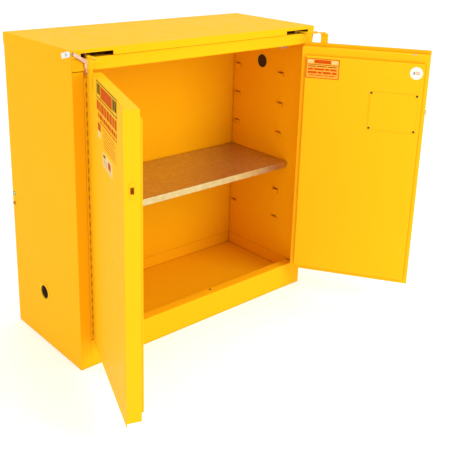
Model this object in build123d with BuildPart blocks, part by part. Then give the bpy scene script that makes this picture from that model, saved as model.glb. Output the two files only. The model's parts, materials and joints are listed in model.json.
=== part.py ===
from build123d import *
from math import cos, radians, sin
import os

os.makedirs("parts", exist_ok=True)

# Driving dimensions, in millimetres. +X is to the right, -Y is the front, +Z is up.
# The origin is the middle of the cabinet's footprint, on the floor.
WIDTH = 1092.2
DEPTH = 457.2
HEIGHT = 1117.6
SHEET = 1.2  # 18 gauge steel
AIR_SPACE = 38.1  # between the outer shell and the inner lining

FRONT = -DEPTH / 2 + SHEET  # outer face of the body, behind the top cover's lips
BACK = DEPTH / 2 - SHEET
SIDE = WIDTH / 2 - SHEET  # outer face of the side panels, inside the cover's lips
JAMB = 504.0  # inner edge of the side panels' front flanges
INNER_SIDE = WIDTH / 2 - AIR_SPACE  # inner face of the side lining
INNER_BACK = DEPTH / 2 - AIR_SPACE
CEILING = HEIGHT - 40
FLOOR = 53.2
SILL_TOP = 104.0
SILL_DEPTH = 38.0
HEADER_BOTTOM = 1048.0
HEADER_TOP = 1089.7
HEADER_SET_BACK = 2.5  # of the header's face above its lower band
COVER_SIDE_LIP = 43.0
COVER_FRONT_LIP = HEIGHT - HEADER_TOP - 1.5
SUMP_EDGE = 106.0

# Continuous hinges
HINGE_X = 490.0
HINGE_Y = -230.0
KNUCKLE_R = 3.6
PIN_R = 1.5
PIN_BORE_R = 1.55
KNUCKLE_PITCH = 15.6
KNUCKLE_GAP = 0.5
HINGE_BOTTOM = 107.5
KNUCKLES = 59
LEAF_NOTCH = 6.5  # from the axis to the fixed leaf, beside the moving knuckles

# Doors, in a frame on the hinge axis: x along the door, y through it, z up
OPEN_ANGLE = {-1: 111.0, 1: 122.5}
DOOR_NEAR = 4.5
DOOR_FAR = 488.0
DOOR_BOTTOM = 107.5
DOOR_TOP = 1044.0
DOOR_LIP_BOTTOM = 93.0
DOOR_LIP_TOP = 1059.0
LIP_SLOPE = 65.0  # along the left door, at the free end of its top lip
SKIN_OUT = -2.6
SKIN_BACK = 42.4
RIM = 20.0
LINER_PROUD = 11.0
LINER_INSET = 17.0
LINER_TOP_INSET = 30.0

# Latch in the right door
LATCH_X = 428.0
LATCH_Z = 825.0
ROD_R = 4.0
ROD_Y = 33.0
BOLT_Z = LATCH_Z
BOLT_DEPTH = 20.0
BOLT_PROUD = 6.0
CUP_DEPTH = 17.0
CUP_RIM = 1.4
CAM_X = LATCH_X - 45
CAM_ARM = 25.0
STRIKE_X = HINGE_X - LATCH_X
STRIKE_Y = HINGE_Y + ROD_Y
RECESS_W = 70.0
RECESS_H = 120.0
RECESS_D = 22.0

# Access cover over the latch, with a screw at each corner
COVER_X = (LATCH_X - 150, LATCH_X + 30)
COVER_Z = (LATCH_Z - 79, LATCH_Z + 70)
COVER_SCREWS = [(x, z) for x in (COVER_X[0] + 5, COVER_X[1] - 5) for z in (COVER_Z[0] + 5, COVER_Z[1] - 5)]

# Closers: a parallelogram of arm and link between the header and the door
POST_X = 478.0
POST_Y = -195.0
ARM_REACH = 80.0
ARM_OFFSET = 9.0
ARM_Z = 1094.0
ARM_T = 3.0
SLOT_IN = 393.0
SLOT_OUT = 512.0
SLOT_TOP = 1105.5

# Shelf
SHELF_TOP = 542.0
SHELF_FRONT = -160.0
SHELF_BACK = 186.0
TAB_ROWS = 6
TAB_PITCH = 127.0
TAB_FIRST = 275.0
TAB_COLUMNS = (-100.0, 160.0)
TAB_REACH = 11.0
TAB_HALF = 14.0
TAB_DROP = 20.0

# Vents
VENT_Y = 15.0
VENT_Z = {-1: 204.0, 1: 943.0}
VENT_BORE_R = 26.0
VENT_OUT_R = 29.0
VENT_RIM_R = 36.0
ARRESTER_R = 27.5
ARRESTER_SEAT = INNER_SIDE + 3.5  # shoulder between the bore and the arrester's seat

# Grounding screw, on the left side
GROUND_Y = 214.0
GROUND_Z = 488.0

# Fusible link, at the left front corner
LINK_X = -538.0
LINK_Z = 1106.0
LINK_LENGTH = 50.0
LINK_SLOPE = radians(-33)
STRAP_X = LINK_X + LINK_LENGTH * cos(LINK_SLOPE)
STRAP_Z = LINK_Z + LINK_LENGTH * sin(LINK_SLOPE)
TAG_SLOPE = radians(-15)

SIDES = {-1: "left", 1: "right"}


def block(plane, x, y, z, mode=Mode.ADD):
    """A rectangular block, given as low and high pairs in the plane's own frame."""
    spans = [sorted(pair) for pair in (x, y, z)]
    centre = [(low + high) / 2 for low, high in spans]
    sizes = [high - low for low, high in spans]
    with Locations(plane.location * Location(centre)):
        Box(*sizes, mode=mode)


def rod(plane, axis, centre, radius, span, mode=Mode.ADD):
    """A round bar along one axis of the plane's frame, between the two ends of span."""
    low, high = sorted(span)
    x, y, z = centre
    middle = (low + high) / 2
    turn = {"x": (0, 90, 0), "y": (90, 0, 0), "z": (0, 0, 0)}[axis]
    place = {"x": (middle, y, z), "y": (x, middle, z), "z": (x, y, middle)}[axis]
    with Locations(plane.location * Location(place, turn)):
        Cylinder(radius, high - low, mode=mode)


def door_plane(side):
    """The frame of an open door: origin on the hinge axis, x along the door away from the hinge."""
    if side < 0:
        turned = radians(-OPEN_ANGLE[side])
    else:
        turned = radians(180 + OPEN_ANGLE[side])
    return Plane(
        origin=(side * HINGE_X, HINGE_Y, 0),
        x_dir=(cos(turned), sin(turned), 0),
        z_dir=(0, 0, 1),
    )


def inward(side, *depths):
    """Distances through the door, positive towards its inner face, as y in the door's frame."""
    return tuple(-side * depth for depth in depths)


WORLD = Plane.XY

# Outer shell

for side, name in SIDES.items():
    with BuildPart() as side_panel:
        with BuildSketch(Plane.XY):
            with BuildLine():
                Polyline(
                    (side * JAMB, FRONT),
                    (side * SIDE, FRONT),
                    (side * SIDE, BACK - SHEET),
                    (side * (SIDE - 20), BACK - SHEET),
                    (side * (SIDE - 20), BACK - 2 * SHEET),
                    (side * (SIDE - SHEET), BACK - 2 * SHEET),
                    (side * (SIDE - SHEET), FRONT + SHEET),
                    (side * JAMB, FRONT + SHEET),
                    close=True,
                )
            make_face()
        extrude(amount=HEIGHT - SHEET)
        front_edges = side_panel.edges().filter_by(Axis.Z).group_by(Axis.Y)[0]
        fillet(front_edges.sort_by(Axis.X)[-1 if side > 0 else 0], radius=1.0)
        block(
            WORLD,
            (side * (JAMB - 1), side * (SIDE + 1)),
            (FRONT - 1, FRONT + SHEET + 0.1),
            (HEADER_BOTTOM - 0.3, HEIGHT),
            Mode.SUBTRACT,
        )
        through = (side * (SIDE - 5), side * (SIDE + 5))
        rod(WORLD, "x", (0, VENT_Y, VENT_Z[side]), VENT_OUT_R, through, Mode.SUBTRACT)
        if side < 0:
            rod(WORLD, "x", (0, GROUND_Y, GROUND_Z), 3.2, through, Mode.SUBTRACT)
    side_panel.part.label = f"side_panel_{name}"
    export_step(side_panel.part, f"parts/side_panel_{name}.step")

with BuildPart() as back_panel:
    block(WORLD, (-SIDE, SIDE), (BACK - SHEET, BACK), (0, HEIGHT - SHEET))
    fillet(back_panel.edges().filter_by(Axis.Z).group_by(Axis.Y)[-1], radius=0.8)
back_panel.part.label = "back_panel"
export_step(back_panel.part, "parts/back_panel.step")

with BuildPart() as bottom_panel:
    tray_x = SIDE - SHEET - 0.2
    block(WORLD, (-tray_x, tray_x), (FRONT + SHEET + 0.2, BACK - 2 * SHEET - 0.2), (0, 22))
    block(
        WORLD,
        (-tray_x + SHEET, tray_x - SHEET),
        (FRONT + 2 * SHEET + 0.2, BACK - 3 * SHEET - 0.2),
        (SHEET, 23),
        Mode.SUBTRACT,
    )
    for side in SIDES:
        block(WORLD, (side * (JAMB + 0.5), side * (tray_x + 1)), (FRONT, FRONT + 15), (-1, 23), Mode.SUBTRACT)
bottom_panel.part.label = "bottom_panel"
export_step(bottom_panel.part, "parts/bottom_panel.step")

with BuildPart() as top_cover:
    block(WORLD, (-WIDTH / 2, WIDTH / 2), (-DEPTH / 2, BACK + SHEET), (HEIGHT - COVER_SIDE_LIP, HEIGHT))
    fillet(top_cover.edges().group_by(Axis.Z)[-1], radius=2.5)
    block(
        WORLD,
        (-WIDTH / 2 + SHEET, WIDTH / 2 - SHEET),
        (-DEPTH / 2 + SHEET, BACK),
        (0, HEIGHT - SHEET),
        Mode.SUBTRACT,
    )
    block(
        WORLD,
        (-WIDTH / 2 - 1, WIDTH / 2 + 1),
        (-DEPTH / 2 - 1, -DEPTH / 2 + SHEET + 0.01),
        (0, HEIGHT - COVER_FRONT_LIP),
        Mode.SUBTRACT,
    )
    for side in SIDES:
        block(
            WORLD,
            (side * SLOT_IN, side * SLOT_OUT),
            (-DEPTH / 2 - 1, FRONT + 1),
            (HEADER_BOTTOM, SLOT_TOP),
            Mode.SUBTRACT,
        )
    rod(WORLD, "y", (LINK_X, 0, LINK_Z), 2.1, (-DEPTH / 2 - 1, FRONT + 1), Mode.SUBTRACT)
top_cover.part.label = "top_cover"
export_step(top_cover.part, "parts/top_cover.step")

with BuildPart() as header:
    header_x = SIDE - SHEET - 0.2
    with BuildSketch(Plane.YZ.offset(-header_x)):
        with BuildLine():
            Polyline(
                (FRONT + HEADER_SET_BACK, HEADER_BOTTOM + 17),
                (FRONT, HEADER_BOTTOM + 6),
                (FRONT, HEADER_BOTTOM + 3),
                (FRONT + 3, HEADER_BOTTOM),
                (FRONT + SILL_DEPTH, HEADER_BOTTOM),
                (FRONT + SILL_DEPTH, HEADER_BOTTOM + 6),
                (FRONT + SILL_DEPTH - SHEET, HEADER_BOTTOM + 6),
                (FRONT + SILL_DEPTH - SHEET, HEADER_BOTTOM + SHEET),
                (FRONT + 3.5, HEADER_BOTTOM + SHEET),
                (FRONT + SHEET, HEADER_BOTTOM + 3.5),
                (FRONT + SHEET, HEADER_BOTTOM + 5.9),
                (FRONT + HEADER_SET_BACK + SHEET, HEADER_BOTTOM + 16.9),
                (FRONT + HEADER_SET_BACK + SHEET, HEADER_TOP - SHEET),
                (FRONT + 74, HEADER_TOP - SHEET),
                (FRONT + 74, CEILING + SHEET),
                (FRONT + 74 + SHEET, CEILING + SHEET),
                (FRONT + 74 + SHEET, HEADER_TOP),
                (FRONT + HEADER_SET_BACK, HEADER_TOP),
                close=True,
            )
        make_face()
    extrude(amount=2 * header_x)
    rod(WORLD, "z", (STRIKE_X, STRIKE_Y, 0), 5.5, (HEADER_BOTTOM - 1, HEADER_BOTTOM + 2), Mode.SUBTRACT)
    for side in SIDES:
        rod(WORLD, "z", (side * POST_X, POST_Y, 0), 3.05, (HEADER_TOP - 3, HEADER_TOP + 1), Mode.SUBTRACT)
header.part.label = "header"
export_step(header.part, "parts/header.step")

with BuildPart() as base_front:
    base_x = JAMB - 0.4
    with BuildSketch(Plane.YZ.offset(-base_x)):
        with BuildLine():
            Polyline(
                (FRONT, 0),
                (FRONT, SILL_TOP),
                (FRONT + SILL_DEPTH, SILL_TOP),
                (FRONT + SILL_DEPTH, SILL_TOP - 40),
                (FRONT + SILL_DEPTH - SHEET, SILL_TOP - 40),
                (FRONT + SILL_DEPTH - SHEET, SILL_TOP - SHEET),
                (FRONT + SHEET, SILL_TOP - SHEET),
                (FRONT + SHEET, 0),
                close=True,
            )
        make_face()
    extrude(amount=2 * base_x)
    fillet(base_front.edges().filter_by(Axis.X).group_by(Axis.Z)[-1].sort_by(Axis.Y)[0], radius=1.0)
    rod(WORLD, "z", (STRIKE_X, STRIKE_Y, 0), 5.5, (SILL_TOP - 3, SILL_TOP + 1), Mode.SUBTRACT)
base_front.part.label = "base_front"
export_step(base_front.part, "parts/base_front.step")

# Inner lining

for side, name in SIDES.items():
    with BuildPart() as inner_wall:
        with BuildSketch(Plane.XY.offset(SILL_TOP + 0.3)):
            with BuildLine():
                Polyline(
                    (side * (HINGE_X + 1.5), FRONT + SHEET + 0.3),
                    (side * (INNER_SIDE + SHEET), FRONT + SHEET + 0.3),
                    (side * (INNER_SIDE + SHEET), INNER_BACK),
                    (side * INNER_SIDE, INNER_BACK),
                    (side * INNER_SIDE, FRONT + 2 * SHEET + 0.3),
                    (side * (HINGE_X + 1.5), FRONT + 2 * SHEET + 0.3),
                    close=True,
                )
            make_face()
        extrude(amount=HEADER_BOTTOM - 0.6 - SILL_TOP)
        block(
            WORLD,
            (side * INNER_SIDE, side * (INNER_SIDE + SHEET)),
            (FRONT + SILL_DEPTH + 2, INNER_BACK),
            (FLOOR - SHEET, CEILING),
        )
        for column in TAB_COLUMNS:
            for row in range(TAB_ROWS):
                tab_top = TAB_FIRST + row * TAB_PITCH
                with BuildSketch(Plane.XZ.offset(-column - TAB_HALF)):
                    with BuildLine():
                        Polyline(
                            (side * INNER_SIDE, tab_top),
                            (side * (INNER_SIDE - TAB_REACH), tab_top),
                            (side * (INNER_SIDE - TAB_REACH), tab_top - 2),
                            (side * INNER_SIDE, tab_top - TAB_DROP),
                            close=True,
                        )
                    make_face()
                extrude(amount=2 * TAB_HALF)
                block(
                    WORLD,
                    (side * (INNER_SIDE - 1), side * (INNER_SIDE + SHEET + 1)),
                    (column - TAB_HALF, column + TAB_HALF),
                    (tab_top, tab_top + 3),
                    Mode.SUBTRACT,
                )
        rod(
            WORLD,
            "x",
            (0, VENT_Y, VENT_Z[side]),
            VENT_OUT_R,
            (side * (INNER_SIDE - 5), side * (INNER_SIDE + 5)),
            Mode.SUBTRACT,
        )
    inner_wall.part.label = f"inner_wall_{name}"
    export_step(inner_wall.part, f"parts/inner_wall_{name}.step")

with BuildPart() as inner_back:
    block(
        WORLD,
        (-INNER_SIDE - SHEET, INNER_SIDE + SHEET),
        (INNER_BACK, INNER_BACK + SHEET),
        (FLOOR - SHEET, CEILING + SHEET),
    )
inner_back.part.label = "inner_back"
export_step(inner_back.part, "parts/inner_back.step")

with BuildPart() as ceiling_panel:
    block(
        WORLD,
        (-INNER_SIDE - SHEET, INNER_SIDE + SHEET),
        (FRONT + SILL_DEPTH, INNER_BACK),
        (CEILING, CEILING + SHEET),
    )
    block(
        WORLD,
        (-HINGE_X, HINGE_X),
        (FRONT + SILL_DEPTH, FRONT + SILL_DEPTH + SHEET),
        (HEADER_BOTTOM + 1, CEILING + SHEET),
    )
ceiling_panel.part.label = "ceiling_panel"
export_step(ceiling_panel.part, "parts/ceiling_panel.step")

with BuildPart() as sump_pan:
    pan_x = INNER_SIDE - 0.1
    pan_front = FRONT + SILL_DEPTH + 0.1
    pan_back = INNER_BACK - 0.1
    block(WORLD, (-pan_x, pan_x), (pan_front, pan_back), (FLOOR - SHEET, SUMP_EDGE))
    block(
        WORLD,
        (-pan_x + SHEET, pan_x - SHEET),
        (pan_front + SHEET, pan_back - SHEET),
        (FLOOR, SUMP_EDGE + 1),
        Mode.SUBTRACT,
    )
    front_edge = (pan_front - 1, pan_front + 10)
    block(WORLD, (-pan_x, pan_x), front_edge, (SILL_TOP - 6, SUMP_EDGE + 1), Mode.SUBTRACT)
sump_pan.part.label = "sump_pan"
export_step(sump_pan.part, "parts/sump_pan.step")

# Shelf

with BuildPart() as shelf:
    shelf_x = INNER_SIDE - 3.5
    tab_row_top = TAB_FIRST + 2 * TAB_PITCH
    block(WORLD, (-shelf_x, shelf_x), (SHELF_FRONT, SHELF_BACK), (SHELF_TOP - 25, SHELF_TOP))
    fillet(shelf.edges().filter_by(Axis.X).group_by(Axis.Z)[-1].sort_by(Axis.Y)[0], radius=2.0)
    block(
        WORLD,
        (-shelf_x + SHEET, shelf_x - SHEET),
        (SHELF_FRONT + SHEET, SHELF_BACK - SHEET),
        (SHELF_TOP - 26, SHELF_TOP - SHEET),
        Mode.SUBTRACT,
    )
    for side in SIDES:
        block(
            WORLD,
            (side * (shelf_x - SHEET), side * (shelf_x + 1)),
            (SHELF_FRONT + SHEET, SHELF_BACK + 1),
            (SHELF_TOP - 26, tab_row_top + 0.3),
            Mode.SUBTRACT,
        )
        block(
            WORLD,
            (side * (shelf_x - 14), side * (shelf_x - SHEET)),
            (SHELF_FRONT + SHEET, SHELF_BACK - SHEET),
            (tab_row_top + 0.3, tab_row_top + 0.3 + SHEET),
        )
shelf.part.label = "shelf"
export_step(shelf.part, "parts/shelf.step")

# Vents: a bung ring through both walls, with a flame arrester in it

for side, name in SIDES.items():
    vent_z = VENT_Z[side]
    with BuildPart() as vent_bung:
        rod(WORLD, "x", (0, VENT_Y, vent_z), VENT_OUT_R, (side * (INNER_SIDE - 1.5), side * SIDE))
        rod(WORLD, "x", (0, VENT_Y, vent_z), VENT_RIM_R, (side * SIDE, side * (WIDTH / 2 + 0.8)))
        rod(WORLD, "x", (0, VENT_Y, vent_z), VENT_OUT_R + 3, (side * (INNER_SIDE - 1.5), side * INNER_SIDE))
        rim_edges = vent_bung.edges().filter_by(GeomType.CIRCLE).sort_by(Axis.X)
        fillet(rim_edges[-1 if side > 0 else 0], radius=1.2)
        rod(
            WORLD,
            "x",
            (0, VENT_Y, vent_z),
            VENT_BORE_R,
            (side * (INNER_SIDE - 5), side * (WIDTH / 2 + 5)),
            Mode.SUBTRACT,
        )
        seat_span = (side * (INNER_SIDE - 5), side * ARRESTER_SEAT)
        rod(WORLD, "x", (0, VENT_Y, vent_z), ARRESTER_R + 0.1, seat_span, Mode.SUBTRACT)
    vent_bung.part.label = f"vent_bung_{name}"
    export_step(vent_bung.part, f"parts/vent_bung_{name}.step")

    arrester_place = (side * (ARRESTER_SEAT - 2.5), VENT_Y, vent_z)
    arrester_plane = Plane(origin=arrester_place, x_dir=(0, 1, 0), z_dir=(side, 0, 0))
    with BuildPart() as flame_arrester:
        with BuildSketch(arrester_plane):
            Circle(ARRESTER_R)
            with GridLocations(6, 6, 6, 6):
                Rectangle(4.2, 4.2, mode=Mode.SUBTRACT)
        extrude(amount=1.5)
    flame_arrester.part.label = f"flame_arrester_{name}"
    export_step(flame_arrester.part, f"parts/flame_arrester_{name}.step")

with BuildPart() as ground_screw:
    rod(WORLD, "x", (0, GROUND_Y, GROUND_Z), 3.1, (-SIDE + 12, -SIDE - 8))
    rod(WORLD, "x", (0, GROUND_Y, GROUND_Z), 6.0, (-SIDE, -SIDE - 1.2))
    with BuildSketch(Plane(origin=(-SIDE - 1.2, GROUND_Y, GROUND_Z), x_dir=(0, 1, 0), z_dir=(-1, 0, 0))):
        RegularPolygon(5.5, 6)
    extrude(amount=4)
ground_screw.part.label = "ground_screw"
export_step(ground_screw.part, "parts/ground_screw.step")

# Continuous hinges

for side, name in SIDES.items():
    door = door_plane(side)
    hinge_top = HINGE_BOTTOM + KNUCKLES * KNUCKLE_PITCH
    axis_place = (side * HINGE_X, HINGE_Y, 0)
    leaf_y = (FRONT + 0.3, FRONT + 0.3 + SHEET)
    with BuildPart() as hinge_leaf_fixed:
        block(WORLD, (side * (HINGE_X + LEAF_NOTCH), side * (JAMB - 1)), leaf_y, (HINGE_BOTTOM, hinge_top))
        for knuckle in range(0, KNUCKLES, 2):
            low = HINGE_BOTTOM + knuckle * KNUCKLE_PITCH + KNUCKLE_GAP / 2
            high = low + KNUCKLE_PITCH - KNUCKLE_GAP
            rod(WORLD, "z", axis_place, KNUCKLE_R, (low, high))
            block(WORLD, (side * (HINGE_X + 1), side * (HINGE_X + LEAF_NOTCH + 0.5)), leaf_y, (low, high))
        rod(WORLD, "z", axis_place, PIN_BORE_R, (0, HEIGHT), Mode.SUBTRACT)
    hinge_leaf_fixed.part.label = f"hinge_leaf_fixed_{name}"
    export_step(hinge_leaf_fixed.part, f"parts/hinge_leaf_fixed_{name}.step")

    with BuildPart() as hinge_leaf_moving:
        leaf_through = inward(side, SKIN_OUT - SHEET, SKIN_OUT)
        block(door, (DOOR_NEAR, 14), leaf_through, (HINGE_BOTTOM, hinge_top))
        for knuckle in range(1, KNUCKLES, 2):
            low = HINGE_BOTTOM + knuckle * KNUCKLE_PITCH + KNUCKLE_GAP / 2
            high = low + KNUCKLE_PITCH - KNUCKLE_GAP
            rod(door, "z", (0, 0, 0), KNUCKLE_R, (low, high))
            block(door, (0.5, DOOR_NEAR + 0.5), leaf_through, (low, high))
        rod(door, "z", (0, 0, 0), PIN_BORE_R, (0, HEIGHT), Mode.SUBTRACT)
    hinge_leaf_moving.part.label = f"hinge_leaf_moving_{name}"
    export_step(hinge_leaf_moving.part, f"parts/hinge_leaf_moving_{name}.step")

    with BuildPart() as hinge_pin:
        rod(WORLD, "z", axis_place, PIN_R, (HINGE_BOTTOM - 2, hinge_top + 1))
        fillet(hinge_pin.edges().filter_by(GeomType.CIRCLE), radius=0.5)
    hinge_pin.part.label = f"hinge_pin_{name}"
    export_step(hinge_pin.part, f"parts/hinge_pin_{name}.step")

# Doors

for side, name in SIDES.items():
    door = door_plane(side)
    rod_place = (LATCH_X, inward(side, ROD_Y)[0], 0)
    skin_sheet = inward(side, SKIN_OUT, SKIN_OUT + SHEET)
    with BuildPart() as top_lip:
        block(door, (DOOR_NEAR, DOOR_FAR), skin_sheet, (DOOR_TOP - 1, DOOR_LIP_TOP))
        if side < 0:
            top_corners = top_lip.edges().filter_by(Axis((0, 0, 0), door.y_dir)).group_by(Axis.Z)[-1]
            free_corner = top_corners.sort_by(Axis((0, 0, 0), door.x_dir))[-1]
            end_face = top_lip.faces().sort_by(Axis((0, 0, 0), door.x_dir))[-1]
            chamfer(free_corner, length=DOOR_LIP_TOP - DOOR_TOP, length2=LIP_SLOPE, reference=end_face)

    with BuildPart() as door_skin:
        add(top_lip.part)
        block(door, (DOOR_NEAR, DOOR_FAR), inward(side, SKIN_OUT, SKIN_BACK), (DOOR_BOTTOM, DOOR_TOP))
        block(
            door,
            (DOOR_NEAR + SHEET, DOOR_FAR - SHEET),
            inward(side, SKIN_OUT + SHEET, SKIN_BACK - SHEET),
            (DOOR_BOTTOM + SHEET, DOOR_TOP - SHEET),
            Mode.SUBTRACT,
        )
        block(
            door,
            (DOOR_NEAR + RIM, DOOR_FAR - RIM),
            inward(side, SKIN_BACK - 5, SKIN_BACK + 1),
            (DOOR_BOTTOM + RIM, DOOR_TOP - LINER_TOP_INSET - 4),
            Mode.SUBTRACT,
        )
        block(door, (DOOR_NEAR, DOOR_FAR), skin_sheet, (DOOR_LIP_BOTTOM, DOOR_BOTTOM + 1))
        if side > 0:
            block(
                door,
                (LATCH_X - RECESS_W / 2, LATCH_X + RECESS_W / 2),
                inward(side, SKIN_OUT - 1, SKIN_OUT + SHEET + 1),
                (LATCH_Z - RECESS_H / 2, LATCH_Z + RECESS_H / 2),
                Mode.SUBTRACT,
            )
            rod(door, "z", rod_place, ROD_R + 1, (DOOR_TOP - 3, DOOR_TOP + 1), Mode.SUBTRACT)
            rod(door, "z", rod_place, ROD_R + 1, (DOOR_BOTTOM - 1, DOOR_BOTTOM + 3), Mode.SUBTRACT)
            block(
                door,
                (DOOR_FAR - 3, DOOR_FAR + 1),
                inward(side, BOLT_DEPTH - 4.7, BOLT_DEPTH + 4.7),
                (BOLT_Z - 9, BOLT_Z + 9),
                Mode.SUBTRACT,
            )
        else:
            block(
                door,
                (DOOR_FAR - 3, DOOR_FAR + 1),
                inward(side, BOLT_DEPTH - 7.1, BOLT_DEPTH + 7.1),
                (BOLT_Z - 11.6, BOLT_Z + 11.6),
                Mode.SUBTRACT,
            )
    door_skin.part.label = f"door_skin_{name}"
    export_step(door_skin.part, f"parts/door_skin_{name}.step")

    liner_x = (DOOR_NEAR + LINER_INSET, DOOR_FAR - LINER_INSET)
    liner_z = (DOOR_BOTTOM + LINER_INSET, DOOR_TOP - LINER_TOP_INSET)
    with BuildPart() as door_liner:
        block(door, liner_x, inward(side, SKIN_BACK, SKIN_BACK + LINER_PROUD), liner_z)
        liner_face = door_liner.faces().sort_by(Axis((0, 0, 0), door.y_dir))[0 if side > 0 else -1]
        fillet(liner_face.edges(), radius=2.0)
        block(
            door,
            (liner_x[0] + SHEET, liner_x[1] - SHEET),
            inward(side, SKIN_BACK - 1, SKIN_BACK + LINER_PROUD - SHEET),
            (liner_z[0] + SHEET, liner_z[1] - SHEET),
            Mode.SUBTRACT,
        )
        if side > 0:
            block(
                door,
                (LATCH_X - 140, LATCH_X + 20),
                inward(side, SKIN_BACK, SKIN_BACK + LINER_PROUD + 1),
                (LATCH_Z - 40, LATCH_Z + 60),
                Mode.SUBTRACT,
            )
            for along, cover_z in COVER_SCREWS:
                hole_span = inward(side, SKIN_BACK, SKIN_BACK + LINER_PROUD + 1)
                rod(door, "y", (along, 0, cover_z), 2.2, hole_span, Mode.SUBTRACT)
    door_liner.part.label = f"door_liner_{name}"
    export_step(door_liner.part, f"parts/door_liner_{name}.step")

left_door = door_plane(-1)
with BuildPart() as strike_cup:
    flange_y = (BOLT_DEPTH - 8.5, BOLT_DEPTH + 8.5)
    block(left_door, (DOOR_FAR, DOOR_FAR + CUP_RIM), flange_y, (BOLT_Z - 24, BOLT_Z + 24))
    fillet(strike_cup.edges().filter_by(Axis((0, 0, 0), left_door.x_dir)), radius=8.0)
    rim_face = strike_cup.faces().sort_by(Axis((0, 0, 0), left_door.x_dir))[-1]
    chamfer(rim_face.edges(), length=1.0)
    block(
        left_door,
        (DOOR_FAR - CUP_DEPTH - 1.5, DOOR_FAR + 0.1),
        (BOLT_DEPTH - 7, BOLT_DEPTH + 7),
        (BOLT_Z - 11.5, BOLT_Z + 11.5),
    )
    block(
        left_door,
        (DOOR_FAR - CUP_DEPTH, DOOR_FAR + CUP_RIM + 1),
        (BOLT_DEPTH - 5.5, BOLT_DEPTH + 5.5),
        (BOLT_Z - 10, BOLT_Z + 10),
        Mode.SUBTRACT,
    )
strike_cup.part.label = "strike_cup"
export_step(strike_cup.part, "parts/strike_cup.step")

# Latch mechanism in the right door. Depths are given towards the inner face.

right_door = door_plane(1)
recess_x = (LATCH_X - RECESS_W / 2 + 0.3, LATCH_X + RECESS_W / 2 - 0.3)
recess_z = (LATCH_Z - RECESS_H / 2 + 0.3, LATCH_Z + RECESS_H / 2 - 0.3)
paddle_axis_z = LATCH_Z + 42
paddle_axis_depth = 5.0

with BuildPart() as handle_recess:
    block(right_door, recess_x, inward(1, SKIN_OUT - 0.5, RECESS_D), recess_z)
    block(
        right_door,
        (recess_x[0] - 8, recess_x[1] + 8),
        inward(1, SKIN_OUT - 2.0, SKIN_OUT),
        (recess_z[0] - 8, recess_z[1] + 8),
    )
    flange_edges = handle_recess.edges().filter_by(Axis((0, 0, 0), right_door.y_dir))
    fillet(flange_edges.filter_by(lambda edge: edge.length < 2.5), radius=6)
    block(
        right_door,
        (recess_x[0] + SHEET, recess_x[1] - SHEET),
        inward(1, SKIN_OUT - 3, RECESS_D - SHEET),
        (recess_z[0] + SHEET, recess_z[1] - SHEET),
        Mode.SUBTRACT,
    )
    block(
        right_door,
        (LATCH_X - 6, LATCH_X + 6),
        inward(1, RECESS_D - 3, RECESS_D + 1),
        (paddle_axis_z - 20, paddle_axis_z + 6),
        Mode.SUBTRACT,
    )
    rod(
        right_door,
        "x",
        (0, inward(1, paddle_axis_depth)[0], paddle_axis_z),
        2.5,
        (recess_x[0], recess_x[1]),
    )
    rod(
        right_door,
        "y",
        (LATCH_X, 0, LATCH_Z - 44),
        8.1,
        inward(1, RECESS_D - 3, RECESS_D + 1),
        Mode.SUBTRACT,
    )
handle_recess.part.label = "handle_recess"
export_step(handle_recess.part, "parts/handle_recess.step")

with BuildPart() as paddle_handle:
    paddle_depth = inward(1, 0.5, 4.0)
    block(right_door, (LATCH_X - 29, LATCH_X + 29), paddle_depth, (LATCH_Z - 26, paddle_axis_z))
    paddle_edges = paddle_handle.edges().filter_by(Axis((0, 0, 0), right_door.y_dir))
    fillet(paddle_edges.group_by(Axis.Z)[0], radius=8)
    block(right_door, (LATCH_X - 27, LATCH_X + 27), inward(1, 0.5, 12), (LATCH_Z - 22, LATCH_Z - 19))
    rod(
        right_door,
        "x",
        (0, inward(1, paddle_axis_depth)[0], paddle_axis_z),
        5.0,
        (LATCH_X - 29, LATCH_X + 29),
    )
    tail_z = (paddle_axis_z - 3, paddle_axis_z + 3)
    block(right_door, (LATCH_X - 3, LATCH_X + 3), inward(1, 5, RECESS_D + 1), tail_z)
    rod(
        right_door,
        "x",
        (0, inward(1, paddle_axis_depth)[0], paddle_axis_z),
        2.56,
        (LATCH_X - 40, LATCH_X + 40),
        Mode.SUBTRACT,
    )
paddle_handle.part.label = "paddle_handle"
export_step(paddle_handle.part, "parts/paddle_handle.step")

with BuildPart() as key_lock:
    lock_place = (LATCH_X, 0, LATCH_Z - 44)
    rod(right_door, "y", lock_place, 8.0, inward(1, 12, RECESS_D + 3))
    rod(right_door, "y", lock_place, 10.0, inward(1, 12, RECESS_D - SHEET - 0.2))
    lock_rims = key_lock.edges().filter_by(GeomType.CIRCLE)
    fillet(lock_rims.sort_by(Axis((0, 0, 0), right_door.y_dir))[-1], radius=1.0)
    keyway_z = (LATCH_Z - 49, LATCH_Z - 39)
    block(right_door, (LATCH_X - 1, LATCH_X + 1), inward(1, 11, 15), keyway_z, Mode.SUBTRACT)
    lock_tongue = inward(1, RECESS_D + 0.5, RECESS_D + 3)
    block(right_door, (LATCH_X - 4, LATCH_X + 4), lock_tongue, (LATCH_Z - 60, LATCH_Z - 40))
key_lock.part.label = "key_lock"
export_step(key_lock.part, "parts/key_lock.step")

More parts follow.
